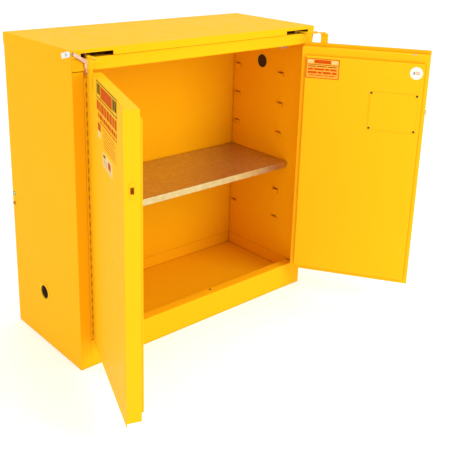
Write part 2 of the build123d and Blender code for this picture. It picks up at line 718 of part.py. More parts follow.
cam_place = (CAM_X, 0, LATCH_Z)
top_pin = (CAM_X + CAM_ARM, 0, LATCH_Z)
bottom_pin = (CAM_X - CAM_ARM, 0, LATCH_Z)
bolt_pin = (CAM_X, 0, LATCH_Z - CAM_ARM)
with BuildPart() as latch_cam:
    rod(right_door, "y", cam_place, 14, inward(1, 24, 27))
    for pin, pin_end in ((top_pin, 33), (bottom_pin, 33), (bolt_pin, 38)):
        rod(right_door, "y", pin, 5, inward(1, 24, 27))
        rod(right_door, "y", pin, 2, inward(1, 24, pin_end))
    block(right_door, (CAM_X - CAM_ARM, CAM_X + CAM_ARM), inward(1, 24, 27), (LATCH_Z - 5, LATCH_Z + 5))
    block(right_door, (CAM_X - 5, CAM_X + 5), inward(1, 24, 27), (LATCH_Z - CAM_ARM, LATCH_Z))
    rod(right_door, "y", cam_place, 4.05, inward(1, 23, 28), Mode.SUBTRACT)
latch_cam.part.label = "latch_cam"
export_step(latch_cam.part, "parts/latch_cam.step")

with BuildPart() as cam_post:
    rod(right_door, "y", cam_place, 4.0, inward(1, SKIN_OUT + SHEET, 28.5))
    rod(right_door, "y", cam_place, 7.0, inward(1, SKIN_OUT + SHEET, 23.6))
    rod(right_door, "y", cam_place, 6.0, inward(1, 27.4, 29.0))
cam_post.part.label = "cam_post"
export_step(cam_post.part, "parts/cam_post.step")

rod_depth = inward(1, ROD_Y)[0]
foot_depth = inward(1, ROD_Y - 4, ROD_Y - 1)
rods = {
    "top": (1, top_pin, (LATCH_Z + 15, DOOR_TOP + 0.5)),
    "bottom": (-1, bottom_pin, (LATCH_Z - 33, DOOR_BOTTOM - 0.5)),
}
for name, (up, pin, (inner_end, outer_end)) in rods.items():
    with BuildPart() as latch_rod:
        rod(right_door, "z", (LATCH_X, rod_depth, 0), ROD_R, (inner_end, outer_end))
        block(right_door, (pin[0] - 8, LATCH_X + ROD_R), foot_depth, (inner_end, inner_end + up * 10))
        block(right_door, (pin[0] - 8, pin[0] + 8), foot_depth, (inner_end, LATCH_Z - up * 7))
        block(
            right_door,
            (pin[0] - 4.5, pin[0] + 4.5),
            inward(1, ROD_Y - 5, ROD_Y),
            (LATCH_Z - 2.5, LATCH_Z + 2.5),
            Mode.SUBTRACT,
        )
        tip = latch_rod.edges().filter_by(GeomType.CIRCLE).sort_by(Axis.Z)[-1 if up > 0 else 0]
        chamfer(tip, length=1.5)
    latch_rod.part.label = f"latch_rod_{name}"
    export_step(latch_rod.part, f"parts/latch_rod_{name}.step")

strip_depth = inward(1, ROD_Y + 1, ROD_Y + 4)
with BuildPart() as side_bolt:
    bolt_z = (BOLT_Z - 8, BOLT_Z + 8)
    bolt_step = (DOOR_FAR - 24, DOOR_FAR - 13)
    bolt_through = inward(1, BOLT_DEPTH - 4, BOLT_DEPTH + 4)
    block(right_door, (bolt_step[0], DOOR_FAR + BOLT_PROUD), bolt_through, bolt_z)
    bolt_tip = side_bolt.edges().filter_by(Axis.Z).sort_by(Axis((0, 0, 0), right_door.x_dir))[-2:]
    chamfer(bolt_tip.sort_by(Axis((0, 0, 0), right_door.y_dir))[0], length=3.0)
    block(right_door, bolt_step, inward(1, BOLT_DEPTH, ROD_Y + 4), bolt_z)
    block(right_door, (LATCH_X - 8, bolt_step[1]), inward(1, ROD_Y - 4, ROD_Y + 4), bolt_z)
    block(right_door, (LATCH_X - 16, LATCH_X - 4), strip_depth, (bolt_pin[2] - 6, BOLT_Z + 8))
    block(right_door, (CAM_X - 7, LATCH_X - 4), strip_depth, (bolt_pin[2] - 6, bolt_pin[2] + 8))
    block(
        right_door,
        (CAM_X - 2.5, CAM_X + 2.5),
        inward(1, ROD_Y, ROD_Y + 5),
        (bolt_pin[2] - 3, bolt_pin[2] + 5),
        Mode.SUBTRACT,
    )
side_bolt.part.label = "side_bolt"
export_step(side_bolt.part, "parts/side_bolt.step")

with BuildPart() as rod_guides:
    for guide_z in (DOOR_BOTTOM + 60, LATCH_Z - 90, LATCH_Z + 85, DOOR_TOP - 60):
        block(
            right_door,
            (LATCH_X - 14, LATCH_X + 14),
            inward(1, SKIN_OUT + SHEET, ROD_Y + 7),
            (guide_z - 6, guide_z + 6),
        )
        block(
            right_door,
            (LATCH_X - 12, LATCH_X + 12),
            inward(1, SKIN_OUT + 2 * SHEET, ROD_Y - 9),
            (guide_z - 7, guide_z + 7),
            Mode.SUBTRACT,
        )
        guide_span = (guide_z - 7, guide_z + 7)
        rod(right_door, "z", (LATCH_X, rod_depth, 0), ROD_R + 0.4, guide_span, Mode.SUBTRACT)
rod_guides.part.label = "rod_guides"
export_step(rod_guides.part, "parts/rod_guides.step")

cover_face = SKIN_BACK + LINER_PROUD
with BuildPart() as access_cover:
    block(right_door, COVER_X, inward(1, cover_face, cover_face + SHEET), COVER_Z)
    for along, cover_z in COVER_SCREWS:
        hole_span = inward(1, cover_face - 1, cover_face + SHEET + 1)
        rod(right_door, "y", (along, 0, cover_z), 2.2, hole_span, Mode.SUBTRACT)
access_cover.part.label = "access_cover"
export_step(access_cover.part, "parts/access_cover.step")

with BuildPart() as cover_screws:
    for along, cover_z in COVER_SCREWS:
        place = (along, 0, cover_z)
        rod(right_door, "y", place, 2.0, inward(1, cover_face - 7, cover_face + SHEET))
        rod(right_door, "y", place, 4.2, inward(1, cover_face + SHEET, cover_face + SHEET + 1.6))
cover_screws.part.label = "cover_screws"
export_step(cover_screws.part, "parts/cover_screws.step")

# Closers

with BuildPart() as closer_posts:
    for side in SIDES:
        place = (side * POST_X, POST_Y, 0)
        rod(WORLD, "z", place, 3.0, (HEADER_TOP - 6, HEADER_TOP))
        rod(WORLD, "z", place, 7.0, (HEADER_TOP, ARM_Z - 0.3))
        rod(WORLD, "z", place, 4.0, (ARM_Z - 0.3, 1112))
        rod(WORLD, "z", place, 6.0, (HEADER_TOP - 6, HEADER_TOP - SHEET))
closer_posts.part.label = "closer_posts"
export_step(closer_posts.part, "parts/closer_posts.step")

with BuildPart() as closer_springs:
    for side in SIDES:
        for turn in range(4):
            with BuildSketch(Plane.XY.offset(ARM_Z + ARM_T + 4.6 + turn * 2.1)):
                with Locations((side * POST_X, POST_Y)):
                    Circle(8.0)
                    Circle(5.6, mode=Mode.SUBTRACT)
            extrude(amount=2.1)
        block(
            WORLD,
            (side * POST_X - 1.2, side * POST_X + 1.2),
            (POST_Y + 6.5, POST_Y + 34),
            (ARM_Z + ARM_T + 4.6, ARM_Z + ARM_T + 6.7),
        )
        block(
            WORLD,
            (side * POST_X - 1.2, side * POST_X + 1.2),
            (POST_Y + 31.6, POST_Y + 34),
            (HEADER_TOP, ARM_Z + ARM_T + 6.7),
        )
closer_springs.part.label = "closer_springs"
export_step(closer_springs.part, "parts/closer_springs.step")

for side, name in SIDES.items():
    door = door_plane(side)
    pin_spot = door.from_local_coords((ARM_REACH, inward(side, ARM_OFFSET)[0], 0))
    reach = Vector(pin_spot.X - side * HINGE_X, pin_spot.Y - HINGE_Y, 0)
    elbow = Vector(side * POST_X, POST_Y, 0) + reach
    arm_plane = Plane(origin=(side * POST_X, POST_Y, ARM_Z), x_dir=reach, z_dir=(0, 0, 1))
    link_run = Vector(pin_spot.X - elbow.X, pin_spot.Y - elbow.Y, 0)
    link_plane = Plane(origin=(elbow.X, elbow.Y, ARM_Z + ARM_T + 0.4), x_dir=link_run, z_dir=(0, 0, 1))

    pin_head = (ARM_Z + 2 * ARM_T + 0.8, ARM_Z + 2 * ARM_T + 2.4)

    with BuildPart() as closer_arm:
        with BuildSketch(arm_plane):
            with Locations((reach.length / 2, 0)):
                SlotCenterToCenter(reach.length, 15)
        extrude(amount=ARM_T)
        with BuildSketch(arm_plane):
            Circle(4.05)
        extrude(amount=ARM_T, mode=Mode.SUBTRACT)
        rod(WORLD, "z", (elbow.X, elbow.Y, 0), 2.5, (ARM_Z, ARM_Z + 2 * ARM_T + 2.2))
        rod(WORLD, "z", (elbow.X, elbow.Y, 0), 4.5, pin_head)
    closer_arm.part.label = f"closer_arm_{name}"
    export_step(closer_arm.part, f"parts/closer_arm_{name}.step")

    with BuildPart() as closer_link:
        with BuildSketch(link_plane):
            with Locations((link_run.length / 2, 0)):
                SlotCenterToCenter(link_run.length, 13)
        extrude(amount=ARM_T)
        rod(WORLD, "z", (elbow.X, elbow.Y, 0), 2.56, (ARM_Z, ARM_Z + 12), Mode.SUBTRACT)
        rod(WORLD, "z", (pin_spot.X, pin_spot.Y, 0), 3.0, (ARM_Z, ARM_Z + 12), Mode.SUBTRACT)
    closer_link.part.label = f"closer_link_{name}"
    export_step(closer_link.part, f"parts/closer_link_{name}.step")

    with BuildPart() as door_bracket:
        bracket_x = (ARM_REACH - 14, ARM_REACH + 14)
        block(door, bracket_x, inward(side, SKIN_OUT - 3, SKIN_OUT), (DOOR_TOP - 34, ARM_Z + ARM_T))
        block(door, bracket_x, inward(side, SKIN_OUT - 3, ARM_OFFSET + 8), (ARM_Z, ARM_Z + ARM_T))
        bend = door_bracket.edges().filter_by(Axis((0, 0, 0), door.x_dir)).group_by(Axis.Z)[-1]
        fillet(bend.sort_by(Axis((0, 0, 0), door.y_dir))[-1 if side > 0 else 0], radius=2.5)
        rod(WORLD, "z", (pin_spot.X, pin_spot.Y, 0), 2.5, (ARM_Z, ARM_Z + 2 * ARM_T + 2.2))
        rod(WORLD, "z", (pin_spot.X, pin_spot.Y, 0), 4.5, pin_head)
    door_bracket.part.label = f"door_bracket_{name}"
    export_step(door_bracket.part, f"parts/door_bracket_{name}.step")

    with BuildPart() as bracket_screws:
        for along in (ARM_REACH - 8, ARM_REACH + 8):
            for screw_z in (DOOR_TOP - 27, DOOR_TOP - 11):
                spot = (along, 0, screw_z)
                rod(door, "y", spot, 4.0, inward(side, SKIN_OUT - 5.2, SKIN_OUT - 3))
    bracket_screws.part.label = f"bracket_screws_{name}"
    export_step(bracket_screws.part, f"parts/bracket_screws_{name}.step")

# Fusible link that holds the left door open, with its strap and tag

link_slope = Plane(
    origin=(LINK_X, FRONT - 3.4, LINK_Z),
    x_dir=(cos(LINK_SLOPE), 0, sin(LINK_SLOPE)),
    z_dir=(0, -1, 0),
)
with BuildPart() as fusible_link:
    with BuildSketch(link_slope):
        with Locations((LINK_LENGTH * 0.3, 0), (LINK_LENGTH * 0.7, 0)):
            SlotCenterToCenter(LINK_LENGTH * 0.6, 11)
        with Locations((0, 0), (LINK_LENGTH, 0)):
            Circle(2.2, mode=Mode.SUBTRACT)
    extrude(amount=1.2)
    with BuildSketch(link_slope.offset(1.2)):
        with Locations((LINK_LENGTH / 2, 0)):
            RectangleRounded(18, 8, 1.5)
    extrude(amount=0.9)
fusible_link.part.label = "fusible_link"
export_step(fusible_link.part, "parts/fusible_link.step")

with BuildPart() as link_screw:
    rod(WORLD, "y", (LINK_X, 0, LINK_Z), 2.0, (FRONT - 8, FRONT + 12))
    rod(WORLD, "y", (LINK_X, 0, LINK_Z), 4.5, (FRONT - 8.5, FRONT - 6))
    rod(WORLD, "y", (LINK_X, 0, LINK_Z), 3.4, (FRONT - 3.4, FRONT - SHEET))
link_screw.part.label = "link_screw"
export_step(link_screw.part, "parts/link_screw.step")

with BuildPart() as link_strap:
    strap_plane = Plane(origin=(STRAP_X, FRONT - 2.2, STRAP_Z), x_dir=(0, 0, -1), z_dir=(0, 1, 0))
    with BuildSketch(strap_plane):
        with Locations((19, 0)):
            SlotCenterToCenter(38, 8)
        Circle(2.2, mode=Mode.SUBTRACT)
    extrude(amount=1.0)
    rod(WORLD, "y", (STRAP_X, 0, STRAP_Z - 38), 2.6, (FRONT, FRONT - 3.4))
link_strap.part.label = "link_strap"
export_step(link_strap.part, "parts/link_strap.step")

with BuildPart() as link_tag:
    tag_plane = Plane(
        origin=(-WIDTH / 2 - 0.1, -DEPTH / 2 + 28, HEIGHT - 17),
        x_dir=(0, cos(TAG_SLOPE), sin(TAG_SLOPE)),
        z_dir=(-1, 0, 0),
    )
    with BuildSketch(tag_plane):
        RectangleRounded(50, 18, 2)
        with Locations((-21, 0)):
            Circle(2, mode=Mode.SUBTRACT)
    extrude(amount=0.5)
link_tag.part.label = "link_tag"
export_step(link_tag.part, "parts/link_tag.step")

# Strikes and a clip under the header

with BuildPart() as strike_plates:
    for low, high in (
        (HEADER_BOTTOM + SHEET, HEADER_BOTTOM + SHEET + 2),
        (SILL_TOP - SHEET - 2, SILL_TOP - SHEET),
    ):
        block(WORLD, (STRIKE_X - 22, STRIKE_X + 22), (FRONT + 6, FRONT + 36.5), (low, high))
        rod(WORLD, "z", (STRIKE_X, STRIKE_Y, 0), 5.5, (low - 1, high + 1), Mode.SUBTRACT)
strike_plates.part.label = "strike_plates"
export_step(strike_plates.part, "parts/strike_plates.step")

with BuildPart() as header_clip:
    clip_x = (405, 446)
    clip_back = FRONT + SILL_DEPTH + SHEET + 2.5
    block(WORLD, clip_x, (clip_back - 2.5, clip_back), (HEADER_BOTTOM + 2, HEADER_BOTTOM + 12))
    block(WORLD, clip_x, (clip_back - 1.5, clip_back), (HEADER_BOTTOM - 16, HEADER_BOTTOM + 12))
header_clip.part.label = "header_clip"
export_step(header_clip.part, "parts/header_clip.step")
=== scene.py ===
import json
import math

import bmesh
import bpy
from mathutils import Matrix, Vector


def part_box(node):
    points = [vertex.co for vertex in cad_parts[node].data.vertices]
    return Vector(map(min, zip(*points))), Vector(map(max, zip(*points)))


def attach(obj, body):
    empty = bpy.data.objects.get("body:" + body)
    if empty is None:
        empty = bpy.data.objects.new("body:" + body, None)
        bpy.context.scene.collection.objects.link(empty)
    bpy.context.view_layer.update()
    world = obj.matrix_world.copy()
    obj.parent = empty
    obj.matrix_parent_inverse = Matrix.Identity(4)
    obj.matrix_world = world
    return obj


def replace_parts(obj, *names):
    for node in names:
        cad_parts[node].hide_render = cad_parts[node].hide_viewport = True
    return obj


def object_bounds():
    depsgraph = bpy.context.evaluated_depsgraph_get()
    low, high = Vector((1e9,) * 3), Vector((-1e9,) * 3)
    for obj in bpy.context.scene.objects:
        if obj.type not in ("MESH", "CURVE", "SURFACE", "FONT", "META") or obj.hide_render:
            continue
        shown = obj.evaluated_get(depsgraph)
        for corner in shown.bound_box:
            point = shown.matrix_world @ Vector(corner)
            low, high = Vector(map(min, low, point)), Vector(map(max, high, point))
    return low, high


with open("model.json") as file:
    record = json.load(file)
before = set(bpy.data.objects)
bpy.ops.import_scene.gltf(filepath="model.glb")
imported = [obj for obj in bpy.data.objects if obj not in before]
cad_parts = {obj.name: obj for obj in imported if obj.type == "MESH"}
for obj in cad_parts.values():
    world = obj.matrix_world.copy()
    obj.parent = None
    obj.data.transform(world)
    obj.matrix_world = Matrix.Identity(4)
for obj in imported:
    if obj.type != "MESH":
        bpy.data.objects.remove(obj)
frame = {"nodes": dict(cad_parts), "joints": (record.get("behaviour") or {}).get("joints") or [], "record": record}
CAD_LOW, CAD_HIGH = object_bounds()

MM = 0.001


# ---------------------------------------------------------------- camera

CAMERA_PLACE = Vector((-1.7000, -2.2261, 1.5156))
CAMERA_AZIMUTH, CAMERA_ELEVATION, CAMERA_ROLL = (math.radians(a) for a in (-41.914, 17.480, 1.672))
CAMERA_LENS = 60.096  # in mm, on a sensor 36 mm wide
CAMERA_SHIFT = -0.158  # up, in parts of the sensor's width


def make_camera():
    """The viewing angle of a person standing at the left front, looking down a little."""
    back = Vector(
        (
            math.sin(CAMERA_AZIMUTH) * math.cos(CAMERA_ELEVATION),
            -math.cos(CAMERA_AZIMUTH) * math.cos(CAMERA_ELEVATION),
            math.sin(CAMERA_ELEVATION),
        )
    )
    level = Vector((math.cos(CAMERA_AZIMUTH), math.sin(CAMERA_AZIMUTH), 0))
    upright = back.cross(level)
    right = math.cos(CAMERA_ROLL) * level + math.sin(CAMERA_ROLL) * upright
    up = -math.sin(CAMERA_ROLL) * level + math.cos(CAMERA_ROLL) * upright
    data = bpy.data.cameras.new("view_camera")
    camera = bpy.data.objects.new("view_camera", data)
    bpy.context.scene.collection.objects.link(camera)
    turn = Matrix((right, up, back)).transposed()
    camera.matrix_world = Matrix.Translation(CAMERA_PLACE) @ turn.to_4x4()
    data.sensor_width = 36.0
    data.lens = CAMERA_LENS
    data.shift_y = CAMERA_SHIFT
    data.clip_start, data.clip_end = 0.02, 100
    bpy.context.scene.camera = camera


make_camera()


# ---------------------------------------------------------------- materials


class Nodes:
    """A node tree with short calls for adding and joining nodes."""

    def __init__(self, name):
        self.material = bpy.data.materials.new(name)
        self.material.use_nodes = True
        self.tree = self.material.node_tree
        self.shader = self.tree.nodes["Principled BSDF"]
        self.coordinates = self.add("ShaderNodeTexCoord").outputs["Object"]

    def add(self, kind, **settings):
        node = self.tree.nodes.new(kind)
        for key, value in settings.items():
            setattr(node, key, value)
        return node

    def join(self, source, target):
        self.tree.links.new(source, target)

    def noise(self, scale, detail=3.0, roughness=0.5, stretch=None):
        node = self.add("ShaderNodeTexNoise")
        node.inputs["Scale"].default_value = scale
        node.inputs["Detail"].default_value = detail
        node.inputs["Roughness"].default_value = roughness
        place = self.coordinates
        if stretch is not None:
            mapping = self.add("ShaderNodeMapping")
            mapping.inputs["Scale"].default_value = stretch
            self.join(place, mapping.inputs["Vector"])
            place = mapping.outputs["Vector"]
        self.join(place, node.inputs["Vector"])
        return node.outputs["Fac"]

    def spread(self, value, low, high, start=0.3, end=0.7):
        """value between start and end, taken to low and high."""
        node = self.add("ShaderNodeMapRange")
        node.inputs["From Min"].default_value = start
        node.inputs["From Max"].default_value = end
        node.inputs["To Min"].default_value = low
        node.inputs["To Max"].default_value = high
        self.join(value, node.inputs["Value"])
        return node.outputs["Result"]

    def mix(self, share, first, second):
        """Two colours mixed; each is a colour or a socket."""
        node = self.add("ShaderNodeMix", data_type="RGBA")
        factor, colour_a, colour_b = (node.inputs[i] for i in (0, 6, 7))
        for socket, value in ((colour_a, first), (colour_b, second)):
            if isinstance(value, bpy.types.NodeSocket):
                self.join(value, socket)
            else:
                socket.default_value = (*value, 1)
        self.join(share, factor)
        return node.outputs[2]

    def bump(self, height, strength, distance, rounded=0.0):
        """Relief from a height, and sharp edges shaded as if rounded."""
        node = self.add("ShaderNodeBump")
        node.inputs["Strength"].default_value = strength
        node.inputs["Distance"].default_value = distance
        self.join(height, node.inputs["Height"])
        if rounded:
            bevel = self.add("ShaderNodeBevel", samples=4)
            bevel.inputs["Radius"].default_value = rounded
            self.join(bevel.outputs["Normal"], node.inputs["Normal"])
        self.join(node.outputs["Normal"], self.shader.inputs["Normal"])

    def crevice(self, distance):
        """1 in the open, towards 0 in corners and seams."""
        node = self.add("ShaderNodeAmbientOcclusion", samples=6)
        node.inputs["Distance"].default_value = distance
        return node.outputs["AO"]

    def edges(self, radius):
        """1 on sharp edges, 0 on flat faces."""
        bevel = self.add("ShaderNodeBevel", samples=4)
        bevel.inputs["Radius"].default_value = radius
        plain = self.add("ShaderNodeNewGeometry").outputs["Normal"]
        dot = self.add("ShaderNodeVectorMath", operation="DOT_PRODUCT")
        self.join(bevel.outputs["Normal"], dot.inputs[0])
        self.join(plain, dot.inputs[1])
        return self.spread(dot.outputs["Value"], 1, 0, 0.80, 0.995)

    def settle(self, **values):
        """The material, once these even values are set on its shader."""
        for key, value in values.items():
            self.shader.inputs[key.replace("_", " ")].default_value = value
        return self.material


def darker(colour, *shares):
    """A colour times one share, or times one share for each of red, green and blue."""
    return tuple(c * share for c, share in zip(colour, shares * (3 // len(shares))))


def powder_coat(name, colour, wear_and_highlight=0.35, painted_shade_depth=0.75, painted_hollow_shade=0.0):
    """Baked powder enamel: orange peel, cloudy tone, pale edges that are partly abrasion and partly painted
    highlight, and painted shade in the seams.

    Deep hollows are painted near black, by the given share: painted shade of the cabinet's inside.
    """
    n = Nodes(name)
    # Paler edge colour: partly abrasion, partly painted highlight.
    worn_and_highlit = (colour[0], colour[1] * 1.22, colour[2] * 2.5 + 0.03)
    # Near black for deep hollows: painted shade.
    hollow_shade_colour = (0.010, 0.006, 0.003)
    body = n.mix(n.spread(n.noise(3.0, 4.0), 0.0, 0.10), colour, darker(colour, 0.80))
    # Painted shade: the colour darkens in seams and corners, found by ambient occlusion.
    painted_seam_shade = n.spread(n.crevice(12 * MM), painted_shade_depth, 0.0, 0.35, 0.85)
    body = n.mix(painted_seam_shade, body, darker(colour, 0.62, 0.42, 0.40))
    # Painted highlight mixed with abrasion: sharp edges turn paler where the noise allows.
    rubbed_and_highlit = n.add("ShaderNodeMath", operation="MULTIPLY")
    n.join(n.edges(1.2 * MM), rubbed_and_highlit.inputs[0])
    n.join(n.spread(n.noise(35.0, 3.0), 0.1, wear_and_highlight), rubbed_and_highlit.inputs[1])
    body = n.mix(rubbed_and_highlit.outputs[0], body, worn_and_highlit)
    # Painted shade: deep hollows, found by ambient occlusion, turn near black.
    if painted_hollow_shade:
        body = n.mix(n.spread(n.crevice(100 * MM), painted_hollow_shade, 0.0, 0.04, 0.13), body, hollow_shade_colour)
    n.join(body, n.shader.inputs["Base Color"])
    n.join(n.spread(n.noise(22.0, 4.0), 0.34, 0.46), n.shader.inputs["Roughness"])
    n.bump(n.noise(430.0, 2.0), 0.10, 0.4 * MM, rounded=0.9 * MM)
    return n.settle(Specular_IOR_Level=0.02)


def plated(name, colour, roughness, tone=0.18, metallic=1.0):
    """Plated or bare metal with fine scratches, blotches and painted shade in the corners."""
    n = Nodes(name)
    body = n.mix(n.spread(n.noise(40.0, 5.0), 0.0, tone * 2), colour, darker(colour, 0.6))
    # Painted shade: darker in corners and seams, found by ambient occlusion.
    body = n.mix(n.spread(n.crevice(6 * MM), 0.7, 0.0, 0.3, 0.85), body, darker(colour, 0.35))
    n.join(body, n.shader.inputs["Base Color"])
    scratches = n.noise(260.0, 4.0, 0.7)
    n.join(n.spread(scratches, roughness - 0.10, roughness + 0.14), n.shader.inputs["Roughness"])
    n.bump(scratches, 0.12, 0.2 * MM, rounded=0.3 * MM)
    return n.settle(Metallic=metallic)


def galvanised_sheet(name):
    """Hot-dip zinc: crystals of different tone and gloss, with long rolling marks."""
    n = Nodes(name)
    cells = n.add("ShaderNodeTexVoronoi")
    cells.inputs["Scale"].default_value = 75.0
    n.join(n.coordinates, cells.inputs["Vector"])
    tone = n.add("ShaderNodeSeparateColor")
    n.join(cells.outputs["Color"], tone.inputs["Color"])
    body = n.mix(n.spread(tone.outputs["Red"], 0.0, 1.0, 0, 1), (0.57, 0.45, 0.20), (0.67, 0.54, 0.26))
    rolling = n.noise(14.0, 5.0, 0.7, stretch=(0.15, 6.0, 6.0))
    body = n.mix(n.spread(rolling, 0.0, 0.25), body, (0.47, 0.36, 0.15))
    n.join(body, n.shader.inputs["Base Color"])
    n.join(n.spread(tone.outputs["Green"], 0.30, 0.46, 0, 1), n.shader.inputs["Roughness"])
    n.bump(n.noise(320.0, 3.0), 0.06, 0.3 * MM, rounded=0.8 * MM)
    return n.settle(Metallic=0.9)


def printed(name, colour, roughness=0.42, specular=0.4):
    """Vinyl or ink: nearly even, with a faint mottle and a fine surface."""
    n = Nodes(name)
    mottle = n.spread(n.noise(90.0, 4.0), 0.0, 0.22)
    n.join(n.mix(mottle, colour, darker(colour, 0.8)), n.shader.inputs["Base Color"])
    n.join(n.spread(n.noise(55.0, 3.0), roughness - 0.06, roughness + 0.08), n.shader.inputs["Roughness"])
    n.bump(n.noise(700.0, 2.0), 0.08, 0.2 * MM)
    return n.settle(Specular_IOR_Level=specular)


def moulded(name, colour):
    """Moulded plastic with a fine spark-eroded grain."""
    n = Nodes(name)
    speckle = n.spread(n.noise(60.0), 0.0, 0.5)
    paler = tuple(c * 1.5 for c in colour)
    n.join(n.mix(speckle, colour, paler), n.shader.inputs["Base Color"])
    n.join(n.spread(n.noise(30.0), 0.42, 0.58), n.shader.inputs["Roughness"])
    n.bump(n.noise(900.0, 2.0), 0.35, 0.3 * MM, rounded=0.4 * MM)
    return n.settle(Specular_IOR_Level=0.45)


FINISHES = {
    # The 0.97 share on the next two lines paints their deep hollows near black: painted shade.
    "yellow_enamel": (powder_coat, {"colour": (1.0, 0.50, 0.006), "painted_hollow_shade": 0.97}),
    "yellow_inner": (powder_coat, {"colour": (0.98, 0.47, 0.004), "wear_and_highlight": 0.2, "painted_hollow_shade": 0.97}),
    "yellow_door": (powder_coat, {"colour": (1.0, 0.53, 0.009)}),
    # The hinge: a paler copy of the yellow, with strong pale edges and little shade in the seams: painted light
    # for a well-lit hinge.
    "yellow_hinge": (powder_coat, {"colour": (1.0, 0.56, 0.010), "wear_and_highlight": 0.8, "painted_shade_depth": 0.10}),
    "galvanised": (galvanised_sheet, {}),
    "zinc": (plated, {"colour": (0.70, 0.68, 0.64), "roughness": 0.34}),
    "dark_steel": (plated, {"colour": (0.16, 0.15, 0.14), "roughness": 0.42, "metallic": 0.9}),
    "screw_steel": (plated, {"colour": (0.045, 0.025, 0.014), "roughness": 0.50, "metallic": 0.35}),
    "brass": (plated, {"colour": (0.78, 0.55, 0.24), "roughness": 0.30}),
    # Near-black red-brown for the vent screens and threads: painted shade of the vent bore.
    "arrester_mesh": (plated, {"colour": (0.07, 0.025, 0.015), "roughness": 0.55, "metallic": 0.4}),
    "link_alloy": (plated, {"colour": (0.80, 0.55, 0.42), "roughness": 0.40, "metallic": 0.75}),
    "chrome": (plated, {"colour": (0.78, 0.78, 0.78), "roughness": 0.16, "tone": 0.05}),
    "black_plastic": (moulded, {"colour": (0.022, 0.022, 0.023)}),
    "tag_card": (printed, {"colour": (0.90, 0.88, 0.84), "roughness": 0.55, "specular": 0.3}),
    "ink_red": (printed, {"colour": (0.66, 0.09, 0.004), "specular": 0.01}),
    "ink_dark": (printed, {"colour": (0.03, 0.012, 0.004), "specular": 0.01}),
    "ink_grey": (printed, {"colour": (0.35, 0.33, 0.30)}),
    "ink_pink": (printed, {"colour": (0.75, 0.35, 0.25)}),
    "vinyl_white": (printed, {"colour": (0.90, 0.87, 0.78)}),
    "vinyl_pale": (printed, {"colour": (0.95, 0.42, 0.045), "specular": 0.01}),
    "vinyl_cream": (printed, {"colour": (0.95, 0.66, 0.25), "specular": 0.01}),
    "paint_green": (printed, {"colour": (0.02, 0.22, 0.03)}),
}
materials = {name: make(name, **look) for name, (make, look) in FINISHES.items()}
slot_of = {entry["node"]: entry["material_slot"] for entry in frame["record"]["subparts"]}
for node_name, node_object in frame["nodes"].items():
    node_object.data.materials.clear()
    node_object.data.materials.append(materials[slot_of[node_name]])


# ---------------------------------------------------------------- places on the doors


class Door:
    """A door's own directions: along it from the hinge, through it towards the inside, and up."""

    def __init__(self, side):
        joint = next(j for j in frame["joints"] if j["name"] == f"{side}_door_hinge")
        self.origin = Vector(joint["pos_m"][:2] + [0])
        opened = math.radians(joint["range_deg"][1])
        turned = -opened if side == "left" else math.pi + opened
        self.along = Vector((math.cos(turned), math.sin(turned), 0))
        across = Vector((-math.sin(turned), math.cos(turned), 0))
        self.inward = across if side == "left" else -across
        self.up = Vector((0, 0, 1))

    def reach(self, node, direction):
        """The lowest and highest place of a CAD node along a direction from the hinge."""
        places = [(v.co - self.origin).dot(direction) for v in frame["nodes"][node].data.vertices]
        return min(places), max(places)

    def face(self, depth, outward):
        """A drawing plane on the door at that depth: x along the door, y up, z off the face."""
        origin = self.origin + self.inward * depth
        off = self.inward * (-1 if outward else 1)
        return Sheet(origin, self.along, self.up, off)


class Sheet:
    """A plane to lay thin pieces on."""

    def __init__(self, origin, right, up, off):
        self.origin, self.right, self.up, self.off = origin, right, up, off

    def at(self, x, y, z=0.0):
        """The point at x to the right, y up and z off the plane."""
        return self.origin + self.right * x + self.up * y + self.off * z


# ---------------------------------------------------------------- mesh pieces


def middle_of(node):
    """The middle of a CAD node's box."""
    low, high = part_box(node)
    return (low + high) / 2


def circle(radius, sides):
    """Points round a circle, as (x, y) pairs."""
    turns = [2 * math.pi * k / sides for k in range(sides)]
    return [(radius * math.cos(turn), radius * math.sin(turn)) for turn in turns]


def quads_between(rings, sides, closed=False):
    """Faces from each ring of points to the next, and from the last to the first if closed."""
    faces = []
    for i in range(rings if closed else rings - 1):
        after = (i + 1) % rings
        for k in range(sides):
            turn = (k + 1) % sides
            faces.append((i * sides + k, i * sides + turn, after * sides + turn, after * sides + k))
    return faces


